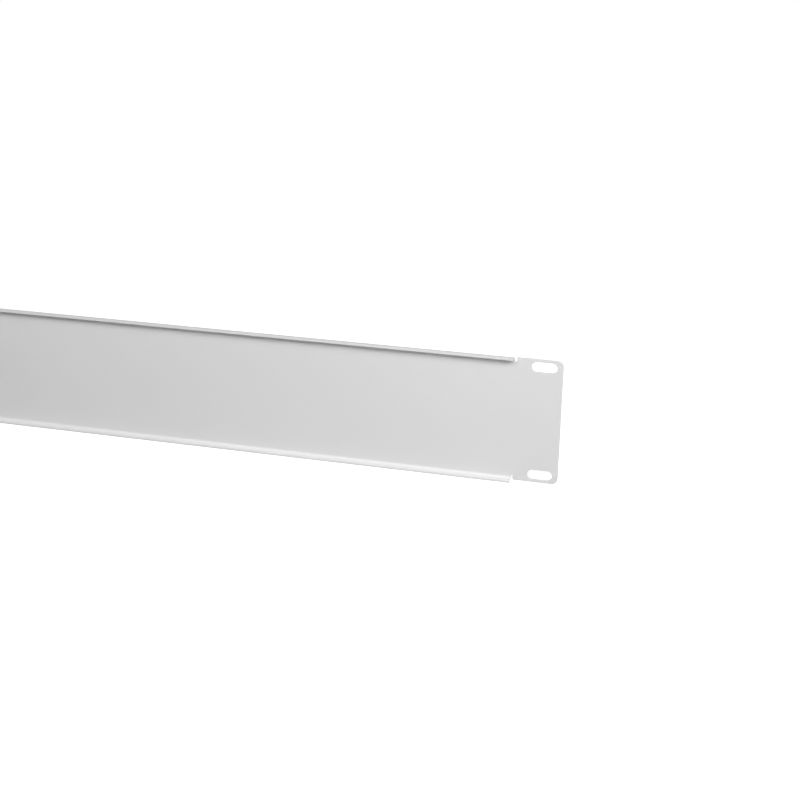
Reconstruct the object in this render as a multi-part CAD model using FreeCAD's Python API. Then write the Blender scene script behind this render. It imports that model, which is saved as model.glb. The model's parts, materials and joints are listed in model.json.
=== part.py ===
"""Rack blanking panel, 19 inch, two height units, folded from one steel sheet.

Frame: X runs along the width, Z is up, and Y runs from the front of the rack into it.
The plane Y = 0 is the rear face of the sheet, which the ears press against the rack rails.
The origin is the centre of the four mounting slots, on that plane.
"""
import FreeCAD, Part
import math
import os

V = FreeCAD.Vector

# ---- driving dimensions, mm ---------------------------------------------------------
PANEL_WIDTH = 482.6          # 19 inch panel, side edge to side edge
PANEL_HEIGHT = 88.1          # two height units less the stacking clearance
SHEET = 1.5                  # steel sheet
BEND_INSIDE_RADIUS = 2.0     # inner radius of both folds
FLANGE_REACH = 4.2           # free edge of a flange behind the rear face
EAR_WIDTH = 29.5             # side edge to relief notch
EAR_SETBACK = 0.7            # edge of an ear below the outer face of the flange beside it
EAR_CORNER_RADIUS = 4.0
RELIEF_WIDTH = 1.6           # notch between an ear and the end of a flange
RELIEF_OVERRUN = 0.3         # notch past the tangent line of the fold
SLOT_LENGTH = 16.5           # mounting slot, end to end
SLOT_WIDTH = 7.0
SLOT_FROM_SIDE = 11.9        # slot centre to the side edge of its ear
SLOT_FROM_TOP = 5.95         # slot centre to the outer face of the nearer flange

# ---- worked out from them -----------------------------------------------------------
BEND_OUTSIDE_RADIUS = SHEET + BEND_INSIDE_RADIUS
FRONT_Y = -SHEET
FLANGE_LENGTH = PANEL_WIDTH - 2 * (EAR_WIDTH + RELIEF_WIDTH)
EAR_HEIGHT = PANEL_HEIGHT - 2 * EAR_SETBACK
BEND_CENTRE_Z = PANEL_HEIGHT / 2 - BEND_OUTSIDE_RADIUS
RELIEF_FLOOR_Z = BEND_CENTRE_Z - RELIEF_OVERRUN
SLOT_X = PANEL_WIDTH / 2 - SLOT_FROM_SIDE
SLOT_Z = PANEL_HEIGHT / 2 - SLOT_FROM_TOP
TOOL_MARGIN = 1.0            # a cutting tool stands this far out of the sheet on each side


def closed_wire(path):
    """Wire along a path that ends where it starts.

    A step is the end of a straight line, or a pair: a point on an arc and the arc's end.
    """
    edges = []
    here = path[0]
    for step in path[1:]:
        if isinstance(step, tuple):
            middle, end = step
            edges.append(Part.Arc(here, middle, end).toShape())
            here = end
        else:
            edges.append(Part.makeLine(here, step))
            here = step
    return Part.Wire(edges)


def fold_point(radius, angle_deg, side):
    """Point round a fold, at the left end: 0 degrees faces the front, 90 the flange.

    The side is 1 for the upper fold and -1 for the lower one.
    """
    angle = math.radians(angle_deg)
    y = BEND_INSIDE_RADIUS - radius * math.cos(angle)
    z = BEND_CENTRE_Z + radius * math.sin(angle)
    return V(-FLANGE_LENGTH / 2, y, side * z)


def flange_edge(inset, side):
    """Corner of a flange's free edge: inset 0 is its outer face, inset SHEET its inner one."""
    return V(-FLANGE_LENGTH / 2, FLANGE_REACH, side * (PANEL_HEIGHT / 2 - inset))


def folded_channel():
    """Web and both flanges: one C section with round folds, drawn out along the width."""
    outer = BEND_OUTSIDE_RADIUS
    inner = BEND_INSIDE_RADIUS
    section = closed_wire([
        flange_edge(0, 1),
        fold_point(outer, 90, 1),
        (fold_point(outer, 45, 1), fold_point(outer, 0, 1)),
        fold_point(outer, 0, -1),
        (fold_point(outer, 45, -1), fold_point(outer, 90, -1)),
        flange_edge(0, -1),
        flange_edge(SHEET, -1),
        fold_point(inner, 90, -1),
        (fold_point(inner, 45, -1), fold_point(inner, 0, -1)),
        fold_point(inner, 0, 1),
        (fold_point(inner, 45, 1), fold_point(inner, 90, 1)),
        flange_edge(SHEET, 1),
        flange_edge(0, 1),
    ])
    return Part.Face(section).extrude(V(FLANGE_LENGTH, 0, 0))


def flat_blank():
    """The flat that the ears belong to, with its four outer corners rounded."""
    corner = V(-PANEL_WIDTH / 2, FRONT_Y, -EAR_HEIGHT / 2)
    flat = Part.makeBox(PANEL_WIDTH, SHEET, EAR_HEIGHT, corner)
    through_edges = [edge for edge in flat.Edges if abs(edge.tangentAt(0).y) > 0.5]
    return flat.makeFillet(EAR_CORNER_RADIUS, through_edges)


def fold_zone(side):
    """Space cut out of the flat between the ears, for one fold and the two notches at its ends."""
    width = FLANGE_LENGTH + 2 * RELIEF_WIDTH
    height = EAR_HEIGHT / 2 - RELIEF_FLOOR_Z + TOOL_MARGIN
    bottom = RELIEF_FLOOR_Z if side > 0 else -RELIEF_FLOOR_Z - height
    corner = V(-width / 2, FRONT_Y - TOOL_MARGIN, bottom)
    return Part.makeBox(width, SHEET + 2 * TOOL_MARGIN, height, corner)


def mounting_slot(x, z):
    """Long hole with round ends, lying along X, as the solid that is cut away."""
    radius = SLOT_WIDTH / 2
    straight = SLOT_LENGTH / 2 - radius
    y = FRONT_Y - TOOL_MARGIN
    outline = closed_wire([
        V(x - straight, y, z - radius),
        V(x + straight, y, z - radius),
        (V(x + straight + radius, y, z), V(x + straight, y, z + radius)),
        V(x - straight, y, z + radius),
        (V(x - straight - radius, y, z), V(x - straight, y, z - radius)),
    ])
    return Part.Face(outline).extrude(V(0, SHEET + 2 * TOOL_MARGIN, 0))


def blanking_panel():
    """The whole folded sheet: ears, web and flanges in one solid."""
    flat = flat_blank()
    for side in (1, -1):
        flat = flat.cut(fold_zone(side))
    panel = flat.fuse(folded_channel()).removeSplitter()
    for x in (-SLOT_X, SLOT_X):
        for z in (-SLOT_Z, SLOT_Z):
            panel = panel.cut(mounting_slot(x, z))
    return panel.Solids[0]


os.makedirs("parts", exist_ok=True)
panel = blanking_panel()
panel.exportStep("parts/blanking_panel.step")
print("blanking_panel: valid", panel.isValid(), "volume mm3", round(panel.Volume, 1))
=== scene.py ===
# %% [markdown]
# # A folded rack blanking panel
#
# The object is one sheet of steel: a flat web with a flange folded back along its top and its
# bottom, and an ear at each end that is screwed to the rails of a 19 inch rack. The sheet is
# punched, folded and powder coated in light grey. This lesson builds it much as a sheet metal
# shop does: cut the blank, round the corners, punch the slots, fold the flanges, soften the
# edges and coat it. Lengths are in metres, and small ones are written as millimetres times MM.

# %% Frame
import bmesh
import bpy
import json
import math
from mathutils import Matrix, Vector


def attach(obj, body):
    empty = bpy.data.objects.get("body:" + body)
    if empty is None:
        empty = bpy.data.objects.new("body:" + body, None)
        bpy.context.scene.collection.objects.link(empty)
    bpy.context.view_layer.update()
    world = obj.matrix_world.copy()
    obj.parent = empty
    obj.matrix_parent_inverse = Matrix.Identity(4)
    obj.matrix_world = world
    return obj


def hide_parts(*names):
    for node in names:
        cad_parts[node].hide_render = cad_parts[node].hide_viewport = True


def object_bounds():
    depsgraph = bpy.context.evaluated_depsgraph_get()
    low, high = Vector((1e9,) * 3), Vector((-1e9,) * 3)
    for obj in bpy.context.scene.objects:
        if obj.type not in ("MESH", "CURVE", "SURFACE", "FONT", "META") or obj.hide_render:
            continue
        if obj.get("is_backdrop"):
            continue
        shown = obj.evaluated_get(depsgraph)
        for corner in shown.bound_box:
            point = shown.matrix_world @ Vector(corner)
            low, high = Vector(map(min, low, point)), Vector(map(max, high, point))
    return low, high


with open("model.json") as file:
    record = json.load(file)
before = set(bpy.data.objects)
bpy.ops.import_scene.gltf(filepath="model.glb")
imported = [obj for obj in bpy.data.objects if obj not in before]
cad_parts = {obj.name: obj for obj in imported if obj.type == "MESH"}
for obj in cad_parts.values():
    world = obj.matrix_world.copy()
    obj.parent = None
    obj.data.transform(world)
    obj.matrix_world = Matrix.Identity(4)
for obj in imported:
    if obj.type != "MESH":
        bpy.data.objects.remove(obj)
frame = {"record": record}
cad_low, cad_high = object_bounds()
print("CAD box, mm:", [round(1000 * side, 2) for side in cad_high - cad_low])

# %% [markdown]
# ## Sizes of the sheet
#
# The engineering model already fixes how big the panel is, so the script measures what it can.
# The web's rear face is the plane Y = 0, so the box tells how thick the sheet is and how far the
# flanges reach behind it. Only the sizes that the box doesn't show, such as the radius of a fold,
# are written here. The relief is the narrow notch between a flange's end and the ear, cut a
# little past the fold line, so that the flange can fold without tearing the ear. The ear stops
# a little short of the panel's top, by its setback.

# %% Sizes of the sheet
MM = 0.001

PANEL_WIDTH = cad_high.x - cad_low.x
PANEL_HEIGHT = cad_high.z - cad_low.z
SHEET = -cad_low.y
FLANGE_REACH = cad_high.y

EAR_WIDTH = 29.5 * MM
EAR_SETBACK = 0.7 * MM
BEND_INSIDE_RADIUS = 2.0 * MM
RELIEF_WIDTH = 1.6 * MM
RELIEF_OVERRUN = 0.3 * MM

NOTCH_OUTER_X = PANEL_WIDTH / 2 - EAR_WIDTH
FLANGE_END_X = NOTCH_OUTER_X - RELIEF_WIDTH
FOLD_Z = PANEL_HEIGHT / 2 - SHEET - BEND_INSIDE_RADIUS
NOTCH_FLOOR_Z = FOLD_Z - RELIEF_OVERRUN
EAR_TOP_Z = PANEL_HEIGHT / 2 - EAR_SETBACK
print("sheet, mm:", round(SHEET / MM, 3), " flange behind it, mm:", round(FLANGE_REACH / MM, 3))

# %% [markdown]
# ## Choosing what an operator acts on
#
# A modelling operator acts on whatever is selected. By hand you would click an edge; in a script
# you pick it by where it lies. Three small helpers do that: one opens a piece in edit mode with
# nothing selected, one selects the vertices that pass a test, and one says whether two
# coordinates are the same place, because lengths that were worked out are never exactly equal.

# %% Selection helpers
SAME_PLACE = 0.01 * MM


def edit_only(piece):
    """Leaves one piece selected and active, in edit mode with nothing selected in it."""
    if bpy.context.object and bpy.context.object.mode != "OBJECT":
        bpy.ops.object.mode_set(mode="OBJECT")
    bpy.ops.object.select_all(action="DESELECT")
    piece.select_set(True)
    bpy.context.view_layer.objects.active = piece
    bpy.ops.object.mode_set(mode="EDIT")
    bpy.ops.mesh.select_mode(type="VERT")
    bpy.ops.mesh.select_all(action="DESELECT")


def select_where(piece, test):
    """Selects the vertices that pass the test, and the edges and faces between them."""
    mesh = bmesh.from_edit_mesh(piece.data)
    for vertex in mesh.verts:
        vertex.select_set(test(vertex.co))
    mesh.select_flush(True)
    mesh.select_flush(False)
    bmesh.update_edit_mesh(piece.data)


def close(a, b):
    """True if two coordinates are the same place."""
    return abs(a - b) < SAME_PLACE


print("places closer than", round(SAME_PLACE / MM, 3), "mm count as one")

# %% [markdown]
# ## The blank: one quarter of the flat sheet
#
# The panel is the same left to right and top to bottom, so a quarter of it is modelled and then
# mirrored twice. The quarter starts as a plane that covers the web up to the floor of the notch.
# Its side edge is extruded twice, once across the notch and once across the ear. The ear is then
# extruded up to its top, and the web up to the fold line. The notch is simply the place where
# nothing is extruded, so it needs no cut.
#
# The plane lies on the rear face of the sheet and looks to +Y. The thickness comes later, so that
# both skins of every fold are made from one surface and stay parallel.

# %% Cut the blank
bpy.ops.object.select_all(action="DESELECT")
bpy.ops.mesh.primitive_plane_add(size=1, rotation=(-math.pi / 2, 0, 0))
panel = bpy.context.object
panel.name = "folded_sheet"
panel.data.name = "folded_sheet"
panel.scale = (FLANGE_END_X, NOTCH_FLOOR_Z, 1)
panel.location = (FLANGE_END_X / 2, 0, NOTCH_FLOOR_Z / 2)
bpy.ops.object.transform_apply(location=True, rotation=True, scale=True)

edit_only(panel)
for here, there in ((FLANGE_END_X, NOTCH_OUTER_X), (NOTCH_OUTER_X, PANEL_WIDTH / 2)):
    select_where(panel, lambda co: close(co.x, here))
    bpy.ops.mesh.extrude_region_move(TRANSFORM_OT_translate={"value": (there - here, 0, 0)})

select_where(panel, lambda co: co.x > NOTCH_OUTER_X - SAME_PLACE and close(co.z, NOTCH_FLOOR_Z))
bpy.ops.mesh.extrude_region_move(
    TRANSFORM_OT_translate={"value": (0, 0, EAR_TOP_Z - NOTCH_FLOOR_Z)}
)
select_where(panel, lambda co: co.x < FLANGE_END_X + SAME_PLACE and close(co.z, NOTCH_FLOOR_Z))
bpy.ops.mesh.extrude_region_move(TRANSFORM_OT_translate={"value": (0, 0, RELIEF_OVERRUN)})
print("blank quarter:", len(bmesh.from_edit_mesh(panel.data).faces), "faces")

# %% [markdown]
# ## The ear's rounded corner
#
# Nobody wants a sharp corner on a panel that is lifted by hand, so the four outer corners are
# rounded. The ear is two faces by now, one beside the notch and one below that. The edge between
# them is dissolved first, with the vertex it leaves on the side, so that the ear is one face with
# a clean outline. A vertex bevel then turns its corner into an arc.

# %% Round the ear's corner
EAR_CORNER_RADIUS = 4.0 * MM
CORNER_STEPS = 14

select_where(panel, lambda co: co.x > NOTCH_OUTER_X - SAME_PLACE and close(co.z, NOTCH_FLOOR_Z))
bpy.ops.mesh.dissolve_edges(use_verts=False)
select_where(panel, lambda co: close(co.x, PANEL_WIDTH / 2) and close(co.z, NOTCH_FLOOR_Z))
bpy.ops.mesh.dissolve_verts()
select_where(panel, lambda co: close(co.x, PANEL_WIDTH / 2) and close(co.z, EAR_TOP_Z))
bpy.ops.mesh.bevel(
    affect="VERTICES", offset=EAR_CORNER_RADIUS, segments=CORNER_STEPS, clamp_overlap=False
)
print("blank quarter:", len(bmesh.from_edit_mesh(panel.data).faces), "faces, one of them the ear")

# %% [markdown]
# ## The mounting slot
#
# Two racks never have their rails quite the same distance apart, so the hole for the screw is a
# slot that lies along the panel. The frame's mount record says where it is and how big.
#
# The ear's face, picked by its centre, is first taken away without its edges.

# %% Open the ear
slots = next(m for m in frame["record"]["mounts"] if m["name"] == "rack_slots")["dims"]
SLOT_X = slots["spacing_x_mm"] / 2 * MM
SLOT_Z = slots["spacing_y_mm"] / 2 * MM
SLOT_WIDTH = 2 * slots["hole_r_mm"] * MM
SLOT_LENGTH = slots["slot_length_mm"] * MM

bpy.ops.mesh.select_mode(type="FACE")
mesh = bmesh.from_edit_mesh(panel.data)
for face in mesh.faces:
    face.select_set(face.calc_center_bounds().x > NOTCH_OUTER_X)
bmesh.update_edit_mesh(panel.data)
bpy.ops.mesh.delete(type="ONLY_FACE")
bpy.ops.mesh.select_mode(type="VERT")
bpy.ops.mesh.select_all(action="DESELECT")
print("slot, mm:", round(SLOT_LENGTH / MM, 2), "by", round(SLOT_WIDTH / MM, 2))

# %% [markdown]
# A rectangle a little larger than the slot then has its four corners bevelled by half its width,
# which turns each short side into a half circle. An inset draws the slot's true edge inside it,
# with a rim of small four-sided faces round the hole, so that its edge can be softened cleanly
# later. The face that is left in the middle is the hole, and is deleted.

# %% Draw the slot
SLOT_STEPS = 12
SLOT_RIM = 0.8 * MM

bpy.ops.mesh.primitive_plane_add(
    size=1, location=(SLOT_X, 0, SLOT_Z), rotation=(-math.pi / 2, 0, 0)
)
bpy.ops.transform.resize(
    value=(SLOT_LENGTH + 2 * SLOT_RIM, 1, SLOT_WIDTH + 2 * SLOT_RIM),
    center_override=(SLOT_X, 0, SLOT_Z),
)
bpy.ops.mesh.bevel(
    affect="VERTICES",
    offset=SLOT_WIDTH / 2 + SLOT_RIM,
    segments=SLOT_STEPS,
    clamp_overlap=False,
)
bpy.ops.mesh.remove_doubles(threshold=SAME_PLACE)
bpy.ops.mesh.select_mode(type="FACE")
bpy.ops.mesh.inset(thickness=SLOT_RIM)
bpy.ops.mesh.delete(type="ONLY_FACE")
bpy.ops.mesh.select_mode(type="VERT")
print("slot's edge:", 4 * SLOT_STEPS, "steps of arc, with a rim of", round(SLOT_RIM / MM, 2), "mm")

# %% [markdown]
# The gap between the ear's outline and the outside of the rim is then filled. Both are picked by
# how far they are from the slot's middle line, which leaves out the slot's own edge. Filling two
# nested outlines keeps the inner one open, so no boolean is needed and the ear stays flat.

# %% Fill the ear round the slot


def from_slot_line(co):
    """Distance to the slot's middle line: half the slot's width anywhere on its edge."""
    along = max(abs(co.x - SLOT_X) - (SLOT_LENGTH - SLOT_WIDTH) / 2, 0)
    return math.hypot(along, co.z - SLOT_Z)


def ear_outlines(co):
    """True on the ear's own outline and on the outside of the rim."""
    return co.x > NOTCH_OUTER_X - SAME_PLACE and (
        from_slot_line(co) > SLOT_WIDTH / 2 + SLOT_RIM / 2
    )


select_where(panel, ear_outlines)
bpy.ops.mesh.fill(use_beauty=True)
print("flat quarter:", len(bmesh.from_edit_mesh(panel.data).faces), "faces with its ear filled")

# %% [markdown]
# ## Folding the flange
#
# A press brake folds the sheet round a tool with a small nose, so the web runs into the flange
# through an arc, never a crease. Spin does the same to an edge: it carries the top edge of the
# web round the centre of the fold in small steps and leaves a face behind each one. The last
# edge is then extruded straight back to the flange's free edge.
#
# An open sheet has no inside, so its normals are first made to agree, and then turned if the web
# doesn't look to +Y.

# %% Fold the flange
FOLD_STEPS = 10

select_where(panel, lambda co: co.x < FLANGE_END_X + SAME_PLACE and close(co.z, FOLD_Z))
bpy.ops.mesh.spin(
    steps=FOLD_STEPS, angle=math.pi / 2, center=(0, BEND_INSIDE_RADIUS, FOLD_Z), axis=(1, 0, 0)
)
bpy.ops.mesh.extrude_region_move(
    TRANSFORM_OT_translate={"value": (0, FLANGE_REACH - BEND_INSIDE_RADIUS, 0)}
)
bpy.ops.mesh.select_all(action="SELECT")
bpy.ops.mesh.remove_doubles(threshold=SAME_PLACE)
bpy.ops.mesh.normals_make_consistent(inside=False)
bpy.ops.object.mode_set(mode="OBJECT")

web = max(panel.data.polygons, key=lambda face: face.area)
if web.normal.y < 0:
    panel.data.flip_normals()
print("web looks towards", [round(part, 2) for part in web.normal])

# %% [markdown]
# ## The whole sheet and its thickness
#
# Modifiers finish the sheet, and each is applied, so that the piece is a plain mesh. Mirror makes
# the other three quarters and welds them along the centre lines. Solidify gives the skin its
# thickness, towards the front, so the rear face stays on Y = 0.

# %% Mirror and thicken


def apply_modifier(piece, kind, **settings):
    """Adds one modifier with its settings and applies it."""
    bpy.ops.object.select_all(action="DESELECT")
    piece.select_set(True)
    bpy.context.view_layer.objects.active = piece
    modifier = piece.modifiers.new(kind.title(), kind)
    for name, value in settings.items():
        setattr(modifier, name, value)
    bpy.ops.object.modifier_apply(modifier=modifier.name)


apply_modifier(
    panel, "MIRROR", use_axis=(True, False, True), use_clip=True, merge_threshold=SAME_PLACE
)
apply_modifier(panel, "SOLIDIFY", thickness=SHEET, offset=-1, use_even_offset=True)
print("whole sheet:", len(panel.data.polygons), "faces")

# %% [markdown]
# ## Coated edges
#
# Sheared steel is deburred, and powder draws back and flows over an edge as it melts, so a coated
# edge is never sharp and catches a thin line of light. Bevel rounds every cut edge a little.
#
# Long thin triangles fill the ears, and normals averaged from them would draw streaks. So the
# bevel marks the flats as strong and its own strips as weak, a limited dissolve merges the
# triangles into a few large faces, and the weighted normals follow the strong faces. The flats
# then shade as flat as they are.

# %% Soften the edges
COATED_EDGE = 0.22 * MM
COATED_EDGE_STEPS = 3
SHARP = math.radians(40)
FLAT = math.radians(0.3)

apply_modifier(
    panel,
    "BEVEL",
    width=COATED_EDGE,
    segments=COATED_EDGE_STEPS,
    limit_method="ANGLE",
    angle_limit=SHARP,
    face_strength_mode="FSTR_ALL",
)
edit_only(panel)
bpy.ops.mesh.select_all(action="SELECT")
bpy.ops.mesh.dissolve_limited(angle_limit=FLAT)
bpy.ops.object.mode_set(mode="OBJECT")
bpy.ops.object.shade_smooth_by_angle(angle=SHARP)
apply_modifier(panel, "WEIGHTED_NORMAL", keep_sharp=True, use_face_influence=True)

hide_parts("blanking_panel")
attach(panel, "root")
print("folded sheet:", len(panel.data.vertices), "vertices,", len(panel.data.polygons), "faces")

# %% [markdown]
# ## Colours and nodes
#
# A colour picked from a paint card is an sRGB value, and shaders work with light, so one function
# turns the hex value to linear. Another adds a node, sets it up and links it, which keeps a
# material readable as a list of steps.

# %% Material helpers


def paint(hex_colour):
    """Linear RGBA of an sRGB hex colour such as #D3D4D3."""
    channels = [int(hex_colour[i : i + 2], 16) / 255 for i in (1, 3, 5)]
    linear = [c / 12.92 if c <= 0.04045 else ((c + 0.055) / 1.055) ** 2.4 for c in channels]
    return (*linear, 1.0)


def new_material(name):
    """Empty node material, and its tree."""
    material = bpy.data.materials.new(name)
    material.use_nodes = True
    material.node_tree.nodes.clear()
    return material, material.node_tree


def add_node(tree, kind, settings=None, inputs=None, links=None):
    """Adds a node: its own settings, values for its sockets, and links to its sockets."""
    node = tree.nodes.new(kind)
    for name, value in (settings or {}).items():
        setattr(node, name, value)
    for name, value in (inputs or {}).items():
        node.inputs[name].default_value = value
    for name, socket in (links or {}).items():
        tree.links.new(socket, node.inputs[name])
    return node


print("mid grey #808080 throws back", round(100 * paint("#808080")[0]), "% of the light")

# %% [markdown]
# ## Patterns of the powder coat
#
# The finish is a light grey polyester powder, sprayed dry and melted in an oven, so it has no
# brush marks. What gives it away is orange peel, a soft swell about two millimetres across left
# by the melt. The powder's own grain is under a tenth of a millimetre, too fine to show, so it is
# drawn several times coarser. The coat is also a little thicker here and thinner there, and its
# tone drifts with that over several centimetres. Each of the three is a noise whose scale comes
# from its real size, or from the size it has to be drawn at.

# %% Patterns of the powder coat
TONE_DRIFT_MM = 70.0
ORANGE_PEEL_MM = 2.2
POWDER_GRAIN_MM = 0.45


def per_metre(feature_mm):
    """Noise scale that gives features of this size when coordinates are in metres."""
    return 1000.0 / feature_mm


def coat_patterns(tree):
    """Noise of the drift in tone, of the orange peel and of the powder's grain."""
    where = add_node(tree, "ShaderNodeTexCoord").outputs["Object"]
    patterns = []
    for feature_mm, detail, roughness in (
        (TONE_DRIFT_MM, 2.0, 0.4),
        (ORANGE_PEEL_MM, 1.0, 0.35),
        (POWDER_GRAIN_MM, 1.0, 0.5),
    ):
        noise = add_node(
            tree,
            "ShaderNodeTexNoise",
            inputs={"Scale": per_metre(feature_mm), "Detail": detail, "Roughness": roughness},
            links={"Vector": where},
        )
        patterns.append(noise.outputs["Fac"])
    return patterns


print("grain drawn at", POWDER_GRAIN_MM, "mm, orange peel at", ORANGE_PEEL_MM, "mm")

# %% [markdown]
# ## Relief of the powder coat
#
# The relief is two bumps, one on the other: the orange peel, a few hundredths of a millimetre
# deep, and the grain, under a hundredth. It is far too shallow to model, so it only tilts the
# normals, which is enough to break up the glow of a lamp.

# %% Relief of the powder coat
ORANGE_PEEL_DEPTH = 0.035 * MM
POWDER_GRAIN_DEPTH = 0.008 * MM


def coat_relief(tree, peel, grain):
    """Normal of the coat: the swell of the orange peel with the powder's grain on it."""
    swell = add_node(
        tree,
        "ShaderNodeBump",
        inputs={"Strength": 1.0, "Distance": ORANGE_PEEL_DEPTH},
        links={"Height": peel},
    )
    relief = add_node(
        tree,
        "ShaderNodeBump",
        inputs={"Strength": 1.0, "Distance": POWDER_GRAIN_DEPTH},
        links={"Height": grain, "Normal": swell.outputs["Normal"]},
    )
    return relief.outputs["Normal"]


print("relief, mm:", round(ORANGE_PEEL_DEPTH / MM, 3), "and", round(POWDER_GRAIN_DEPTH / MM, 3))

# %% [markdown]
# ## Powder coat
#
# The sheen is satin: it blurs a lamp into a wide glow. It comes from a roughness just under a
# half that changes a little from grain to grain. The drift in tone mixes two greys that are hard
# to tell apart.

# %% Powder coat
COAT_DARKER = "#D6D6D6"
COAT_LIGHTER = "#D9D9D9"
POLYESTER_IOR = 1.5
SATIN_LEAST = 0.42
SATIN_MOST = 0.50
NOISE_LEAST = 0.3
NOISE_MOST = 0.7


def powder_coat():
    """Light grey satin polyester powder on steel."""
    material, tree = new_material("satin_powder_coat_light_grey")
    drift, peel, grain = coat_patterns(tree)
    tone = add_node(
        tree,
        "ShaderNodeMix",
        settings={"data_type": "RGBA", "clamp_factor": True},
        inputs={"A": paint(COAT_DARKER), "B": paint(COAT_LIGHTER)},
        links={"Factor": drift},
    )
    sheen = add_node(
        tree,
        "ShaderNodeMapRange",
        inputs={
            "From Min": NOISE_LEAST,
            "From Max": NOISE_MOST,
            "To Min": SATIN_LEAST,
            "To Max": SATIN_MOST,
        },
        links={"Value": grain},
    )
    shader = add_node(
        tree,
        "ShaderNodeBsdfPrincipled",
        inputs={"IOR": POLYESTER_IOR, "Metallic": 0.0},
        links={
            "Base Color": tone.outputs["Result"],
            "Roughness": sheen.outputs["Result"],
            "Normal": coat_relief(tree, peel, grain),
        },
    )
    add_node(tree, "ShaderNodeOutputMaterial", links={"Surface": shader.outputs["BSDF"]})
    return material


panel.data.materials.clear()
panel.data.materials.append(powder_coat())
print("coat:", panel.data.materials[0].name, "with roughness", SATIN_LEAST, "to", SATIN_MOST)

# %% [markdown]
# ## What only the eye sees
#
# The panel stands on a plain pale table in a white room. A white that fills the picture would
# also flood the panel with light and wash out its shadows. So the white is kept for the camera
# and for reflections: a light path node says what kind of ray it is, and a maximum joins the
# kinds that see the white.

# %% What only the eye sees
EYE_RAYS = ("Is Glossy Ray", "Is Transmission Ray", "Is Camera Ray")


def seen_by_eye(tree):
    """1 for a ray from the camera or a reflection, 0 for the light that falls on things."""
    path = add_node(tree, "ShaderNodeLightPath").outputs
    first, *others = EYE_RAYS
    seen = path[first]
    for kind in others:
        either = add_node(
            tree,
            "ShaderNodeMath",
            settings={"operation": "MAXIMUM"},
            links={0: seen, 1: path[kind]},
        )
        seen = either.outputs["Value"]
    return seen


print("rays that see the white:", EYE_RAYS)

# %% [markdown]
# ## Table
#
# For the light that it throws back, the table is an ordinary matt laminate. To the eye it also
# glows, just enough to reach white in the open, so that the shadow of the panel stays.

# %% Table
TABLE_SIDE = 1.6
TABLE_GREY = "#B4B4B4"
TABLE_GLOW = 0.82
WHITE = paint("#FFFFFF")


def table_top():
    """Matt pale laminate, with a glow that only the eye sees."""
    material, tree = new_material("matt_laminate_pale_grey")
    matt = add_node(tree, "ShaderNodeBsdfDiffuse", inputs={"Color": paint(TABLE_GREY)})
    strength = add_node(
        tree,
        "ShaderNodeMath",
        settings={"operation": "MULTIPLY"},
        inputs={1: TABLE_GLOW},
        links={0: seen_by_eye(tree)},
    )
    glow = add_node(
        tree,
        "ShaderNodeEmission",
        inputs={"Color": WHITE},
        links={"Strength": strength.outputs["Value"]},
    )
    both = add_node(
        tree,
        "ShaderNodeAddShader",
        links={0: matt.outputs["BSDF"], 1: glow.outputs["Emission"]},
    )
    add_node(tree, "ShaderNodeOutputMaterial", links={"Surface": both.outputs["Shader"]})
    return material


bpy.ops.object.select_all(action="DESELECT")
bpy.ops.mesh.primitive_plane_add(size=TABLE_SIDE, location=(0, 0, cad_low.z))
table = bpy.context.object
table.name = "table"
table.data.materials.append(table_top())
table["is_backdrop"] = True
print("table", TABLE_SIDE, "m square, glow", TABLE_GLOW)

# %% [markdown]
# ## Room
#
# Past the table's edge the eye sees the room, which is as white as the table. The light that the
# room itself sends to the panel is faint, and only keeps the deepest shadows from going black.

# %% Room
ROOM_LIGHT = 0.04

room = bpy.data.worlds.new("white_room")
bpy.context.scene.world = room
room.use_nodes = True
room.node_tree.nodes.clear()
room_level = add_node(
    room.node_tree,
    "ShaderNodeMapRange",
    inputs={"To Min": ROOM_LIGHT, "To Max": 1.0},
    links={"Value": seen_by_eye(room.node_tree)},
)
walls = add_node(
    room.node_tree,
    "ShaderNodeBackground",
    inputs={"Color": WHITE},
    links={"Strength": room_level.outputs["Result"]},
)
add_node(room.node_tree, "ShaderNodeOutputWorld", links={"Surface": walls.outputs["Background"]})
print("room light on the panel", ROOM_LIGHT)

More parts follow.
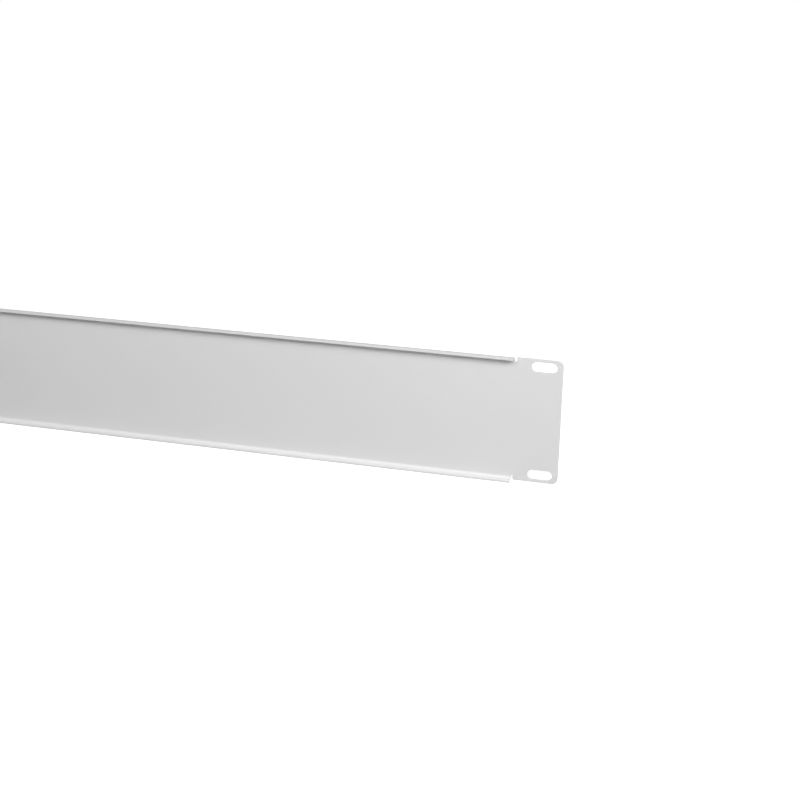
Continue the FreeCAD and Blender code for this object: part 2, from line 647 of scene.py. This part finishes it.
# %% [markdown]
# ## Lamps
#
# Three softboxes light the panel, as on a small product stand. Two hang high in front of the
# hollow side, the key past the near end and the overhead one at the middle, and light it from
# above: the top flange throws a soft dark line on the web, and the bottom one catches the light.
# The third stands low on the other side, for the face that looks away. It is kept out of
# reflections, because its mirror image would draw a white line along the fold.

# %% Lamps


def softbox(name, place, width, height, watts):
    """Rectangular area lamp at a place, turned towards the panel."""
    lamp = bpy.data.lights.new(name, "AREA")
    lamp.shape = "RECTANGLE"
    lamp.size = width
    lamp.size_y = height
    lamp.energy = watts
    holder = bpy.data.objects.new(name, lamp)
    holder.location = place
    holder.rotation_euler = Vector(place).to_track_quat("Z", "Y").to_euler()
    bpy.context.scene.collection.objects.link(holder)
    print(name, "softbox", round(Vector(place).length, 2), "m away,", watts, "W")
    return holder


softbox("key", place=(-0.76, 0.70, 0.78), width=0.9, height=0.5, watts=13.4)
softbox("overhead", place=(0.0, 0.86, 0.97), width=0.9, height=0.5, watts=6.8)
back = softbox("back", place=(0.25, -1.25, 0.08), width=0.9, height=0.2, watts=11.0)
back.visible_glossy = False

# %% [markdown]
# ## Camera
#
# The camera looks down at the hollow side from past the near end, so that both flanges, the
# notches and the near ear's slots show. The far ear runs out of the picture. The view transform
# is Standard, which shows the light without a film's curve.

# %% Camera
CAMERA_PLACE = Vector((-0.3298, 0.7558, 0.3542))
CAMERA_DOWN = math.radians(24.07)
CAMERA_TURN = math.radians(14.44)
CAMERA_LENS = 58.5
CAMERA_SENSOR = 36.0

camera_data = bpy.data.cameras.new("camera")
camera_data.sensor_width = CAMERA_SENSOR
camera_data.lens = CAMERA_LENS
camera = bpy.data.objects.new("camera", camera_data)
camera.location = CAMERA_PLACE
camera.rotation_euler = (math.pi / 2 - CAMERA_DOWN, 0, math.pi + CAMERA_TURN)
bpy.context.scene.collection.objects.link(camera)
bpy.context.scene.camera = camera

bpy.context.scene.view_settings.view_transform = "Standard"
print("camera", round(CAMERA_PLACE.length, 2), "m away, lens", CAMERA_LENS, "mm")

# %% Finish
visual_low, visual_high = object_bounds()
apart = [a - b for a, b in zip((*visual_low, *visual_high), (*cad_low, *cad_high))]
print("visual box less CAD box, mm:", [round(side / MM, 4) for side in apart])
